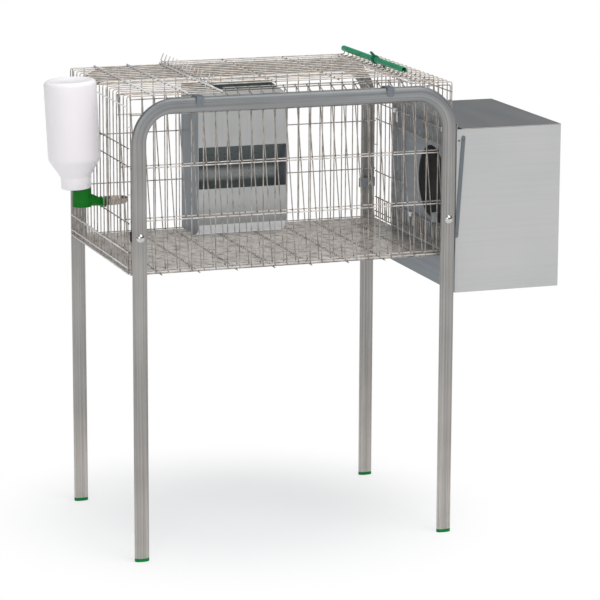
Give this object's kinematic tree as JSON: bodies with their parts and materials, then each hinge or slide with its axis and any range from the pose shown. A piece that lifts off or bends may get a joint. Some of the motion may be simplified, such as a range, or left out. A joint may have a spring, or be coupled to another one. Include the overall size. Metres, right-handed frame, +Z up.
{
  "type": "rabbit cage",
  "caption": "Wire rabbit cage on two bent-tube leg frames, with hinged wire lid, hay rack, sheet feeder, bottle drinker and hanging nest box",
  "frame": {"origin": "centre of the bounding box at floor level, under the feet", "axes": "+X to the nest box (the object's right), +Y to the back, +Z up"},
  "size_m": [1.0388, 0.49, 0.9772],
  "materials": {
    "galvanised_tube": "dull zinc, drawn lengthwise",
    "galvanised_wire": "zinc-coated wire",
    "galvanised_sheet": "smooth rolled zinc",
    "fixing_steel": "bright zinc",
    "cup_steel": "pressed stainless",
    "black_plastic": "matt",
    "foot_green": "moulded",
    "drinker_green": "moulded",
    "tube_green": "extruded",
    "latch_green": "moulded",
    "bottle_plastic": "milky, blow-moulded"
  },
  "bodies": {
    "base": {"back_panel": "galvanised_wire", "bottle": "bottle_plastic", "clamp_plates": "fixing_steel", "drinker_cap": "drinker_green", "drinker_cup": "cup_steel", "feeder_baffle": "galvanised_sheet", "feeder_hooks": "fixing_steel", "feeder_hopper": "galvanised_sheet", "feeder_rivet": "fixing_steel", "feeder_side_hooks": "fixing_steel", "feeder_trough": "galvanised_sheet", "floor_panel": "galvanised_wire", "foot_cap_front_left": "foot_green", "foot_cap_front_right": "foot_green", "foot_cap_rear_left": "foot_green", "foot_cap_rear_right": "foot_green", "frame_clips": "fixing_steel", "front_frame": "galvanised_tube", "front_panel": "galvanised_wire", "hay_rack": "galvanised_wire", "left_side_panel": "galvanised_wire", "leg_bolts": "fixing_steel", "leg_nuts": "fixing_steel", "leg_spacers": "black_plastic", "nest_box": "galvanised_sheet", "nest_hinge_pin": "fixing_steel", "nest_hooks": "fixing_steel", "nest_rivets": "fixing_steel", "nest_stay": "fixing_steel", "panel_rings": "fixing_steel", "rear_frame": "galvanised_tube", "right_side_panel": "galvanised_wire", "top_left_panel": "galvanised_wire", "top_right_panel": "galvanised_wire"},
    "lid": {"lid": "galvanised_wire", "lid_hinge_rings": "fixing_steel", "lid_edge_tube": "tube_green"},
    "latch": {"lid_latch": "latch_green"},
    "nest_lid": {"nest_lid": "galvanised_sheet"}
  },
  "joints": [
    {"name": "lid_hinge", "type": "hinge", "parent": "base", "child": "lid", "pos_m": [-0.20662, 0.04275, 0.94422], "axis": [0, -1, 0], "range_deg": [0, 100]},
    {"name": "latch_turn", "type": "hinge", "parent": "lid", "child": "latch", "pos_m": [0.20738, 0.03025, 0.95952], "axis": [0, -1, 0], "range_deg": [0, 75]},
    {"name": "nest_lid_hinge", "type": "hinge", "parent": "base", "child": "nest_lid", "pos_m": [0.29518, -0.044, 0.8492], "axis": [0, -1, 0], "range_deg": [0, 94]}
  ]
}
